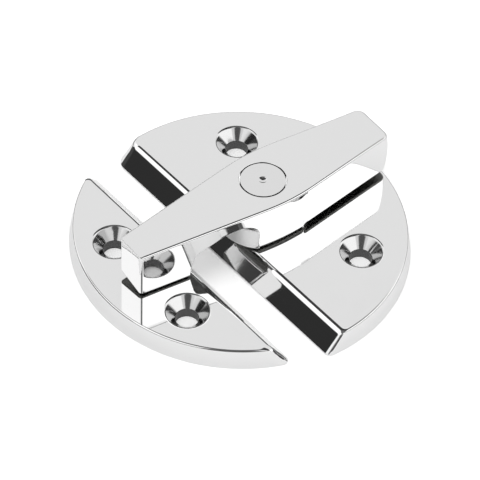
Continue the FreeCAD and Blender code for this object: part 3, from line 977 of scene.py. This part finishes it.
class LATCH_OT_small_rings(bpy.types.Operator):
    """Finish the thrust washer, the disc spring, the retaining washer and the circlip"""
    bl_idname = "latch.small_rings"
    bl_label = "Small rings"

    def execute(self, context):
        finish = context.scene.latch_finish
        plain = metal("Spring steel", finish.spring_steel, finish.spring_polish,
                      finish.spring_haze, finish.spring_scratches)
        for node in ("disc_spring", "retaining_washer", "circlip"):
            dress(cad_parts[node], plain)
        dress(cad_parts["thrust_washer"], acetal("Acetal", finish.acetal))
        return {"FINISHED"}


def card_shape(add, way, bearing, half_width, low, high, soft):
    """Return how much of one card of the room lies in a direction. Bearing 0 is +Y and 90 is
    +X, low and high are elevations, and all are in degrees."""
    turned_way = add("ShaderNodeVectorRotate", {
        "Vector": way, "Angle": math.radians(bearing)}, rotation_type="Z_AXIS")
    parts = add("ShaderNodeSeparateXYZ", {"Vector": turned_way.outputs["Vector"]}).outputs
    sideways = add("ShaderNodeMath", {0: parts["X"], 1: parts["Y"]}, operation="ARCTAN2")
    offset = add("ShaderNodeMath", {0: sideways.outputs["Value"]}, operation="ABSOLUTE")
    height = add("ShaderNodeMath", {0: parts["Z"]}, operation="ARCSINE")
    sides = []
    for value, inner, outer in ((offset, half_width - soft, half_width),
                                (height, low + soft, low),
                                (height, high - soft, high)):
        rising = inner > outer
        sides.append(add("ShaderNodeMapRange", {
            "Value": value.outputs["Value"],
            "From Min": math.radians(min(inner, outer)),
            "From Max": math.radians(max(inner, outer)),
            "To Min": 0 if rising else 1,
            "To Max": 1 if rising else 0},
            interpolation_type="SMOOTHSTEP").outputs["Result"])
    shape = sides[0]
    for side in sides[1:]:
        shape = add("ShaderNodeMath", {0: shape, 1: side}, operation="MULTIPLY").outputs["Value"]
    return shape


def light_room(world, level):
    """Shape the white room: the cards and gaps that the polished metal mirrors. Each has its
    bearing, half its width, its lower and upper edge, its softness and its brightness."""
    world.use_nodes = True
    add = new_nodes(world.node_tree)
    way = add("ShaderNodeTexCoord").outputs["Generated"]
    cards = (
        ("right side softbox", 142, 46, 18, 51, 2, 1.5),
        ("left side softbox", -50, 56, 36, 70, 3, 1.25),
        ("far card", 46, 40, 12, 53, 2, 0.86),
        ("gap overhead", 50, 56, 51, 120, 1, 0.05),
        ("gap overhead at the right", 144, 38, 52.5, 120, 1, 0.05),
        ("overhead", 0, 200, 68, 120, 6, 0.15),
        ("behind the camera", -138, 22, 15, 80, 6, 0.12),
        ("dark left", -50, 26, -20, 34, 2, 0.03),
        ("room beyond the table", 0, 200, -20, 21, 5, 0.06),
    )
    strength = level
    for name, *place, brightness in cards:
        strength = add("ShaderNodeMix", {
            "Factor": card_shape(add, way, *place), "A": strength, "B": brightness * level},
            data_type="FLOAT", label=name).outputs["Result"]
    room = add("ShaderNodeBackground", {"Color": (1, 1, 1, 1), "Strength": strength})
    white = add("ShaderNodeBackground", {"Color": (1, 1, 1, 1)})
    rays = add("ShaderNodeLightPath")
    choose = add("ShaderNodeMixShader", {
        "Fac": rays.outputs["Is Camera Ray"], 1: room.outputs["Background"],
        2: white.outputs["Background"]})
    add("ShaderNodeOutputWorld", {"Surface": choose.outputs["Shader"]})


def floor_material(colour, glow, mirrored_glow):
    """Make the pale floor. A faint glow that only the eye and, weaker, polished metal see
    keeps it white, and it keeps the shadow of the latch."""
    material, add = new_material("Floor")
    matt = add("ShaderNodeBsdfDiffuse", {"Color": (*colour, 1)})
    rays = add("ShaderNodeLightPath").outputs
    either = add("ShaderNodeMath", {
        0: rays["Is Glossy Ray"], 1: rays["Is Transmission Ray"]}, operation="MAXIMUM")
    mirrored = add("ShaderNodeMath", {
        0: either.outputs["Value"], 1: mirrored_glow}, operation="MULTIPLY")
    strength = add("ShaderNodeMath", {
        0: rays["Is Camera Ray"], 1: glow, 2: mirrored.outputs["Value"]},
        operation="MULTIPLY_ADD")
    light = add("ShaderNodeEmission", {"Strength": strength.outputs["Value"]})
    both = add("ShaderNodeAddShader", {
        0: matt.outputs["BSDF"], 1: light.outputs["Emission"]})
    add("ShaderNodeOutputMaterial", {"Surface": both.outputs["Shader"]})
    return material


class LATCH_OT_stage(bpy.types.Operator):
    """Set the floor, the light and the camera"""
    bl_idname = "latch.stage"
    bl_label = "Stage"

    def execute(self, context):
        scene = context.scene
        studio = scene.latch_studio
        bpy.ops.object.select_all(action="DESELECT")
        bpy.ops.mesh.primitive_plane_add(size=studio.floor_size)
        floor = context.object
        floor.name = "floor"
        dress(floor, floor_material(studio.floor, studio.glow, studio.mirrored_glow))

        scene.world = bpy.data.worlds.new("Room")
        light_room(scene.world, studio.room)

        lamp = bpy.data.lights.new("Soft lamp", "AREA")
        lamp.energy = studio.lamp
        lamp.shape = "DISK"
        lamp.size = studio.lamp_size
        lamp_place = bpy.data.objects.new("Soft lamp", lamp)
        lamp_place.location = (studio.lamp_aside, studio.lamp_aside, studio.lamp_height)
        lamp_place.visible_glossy = False
        scene.collection.objects.link(lamp_place)

        back = Vector((math.sin(studio.azimuth) * math.cos(studio.elevation),
                       -math.cos(studio.azimuth) * math.cos(studio.elevation),
                       math.sin(studio.elevation)))
        eye = bpy.data.cameras.new("Camera")
        eye.lens = studio.focal
        eye.shift_x = studio.shift_x
        eye.shift_y = studio.shift_y
        eye.clip_start = studio.clip_start
        eye.clip_end = studio.clip_end
        camera = bpy.data.objects.new("Camera", eye)
        scene.collection.objects.link(camera)
        camera.location = back * studio.distance
        aim = (-back).to_track_quat("-Z", "Y").to_matrix()
        camera.rotation_euler = (aim @ Matrix.Rotation(studio.roll, 3, "Z")).to_euler()
        scene.camera = camera
        scene.view_settings.view_transform = "Standard"
        return {"FINISHED"}


class LATCH_PT_panel(bpy.types.Panel):
    """Lists the pieces of the latch"""
    bl_label = "Round twist latch"
    bl_idname = "LATCH_PT_panel"
    bl_space_type = "VIEW_3D"
    bl_region_type = "UI"
    bl_category = "Latch"

    def draw(self, context):
        for operator in OPERATORS:
            self.layout.operator(operator.bl_idname)


GROUPS = {
    "latch_plates": LatchPlates,
    "latch_pivot": LatchPivot,
    "latch_handle": LatchHandle,
    "latch_finish": LatchFinish,
    "latch_studio": LatchStudio,
}
OPERATORS = (
    LATCH_OT_base_plate,
    LATCH_OT_keeper_plate,
    LATCH_OT_twist_handle,
    LATCH_OT_pivot_pin,
    LATCH_OT_small_rings,
    LATCH_OT_stage,
)


def register():
    """Register the sizes, the operators and the panel."""
    for name, group in GROUPS.items():
        bpy.utils.register_class(group)
        setattr(bpy.types.Scene, name, PointerProperty(type=group))
    for operator in OPERATORS:
        bpy.utils.register_class(operator)
    bpy.utils.register_class(LATCH_PT_panel)


def unregister():
    """Take back what register added."""
    bpy.utils.unregister_class(LATCH_PT_panel)
    for operator in reversed(OPERATORS):
        bpy.utils.unregister_class(operator)
    for name, group in GROUPS.items():
        delattr(bpy.types.Scene, name)
        bpy.utils.unregister_class(group)


def main():
    """Build the whole latch."""
    register()
    bpy.ops.latch.base_plate()
    bpy.ops.latch.keeper_plate()
    bpy.ops.latch.twist_handle()
    bpy.ops.latch.pivot_pin()
    bpy.ops.latch.small_rings()
    bpy.ops.latch.stage()


if __name__ == "__main__":
    main()
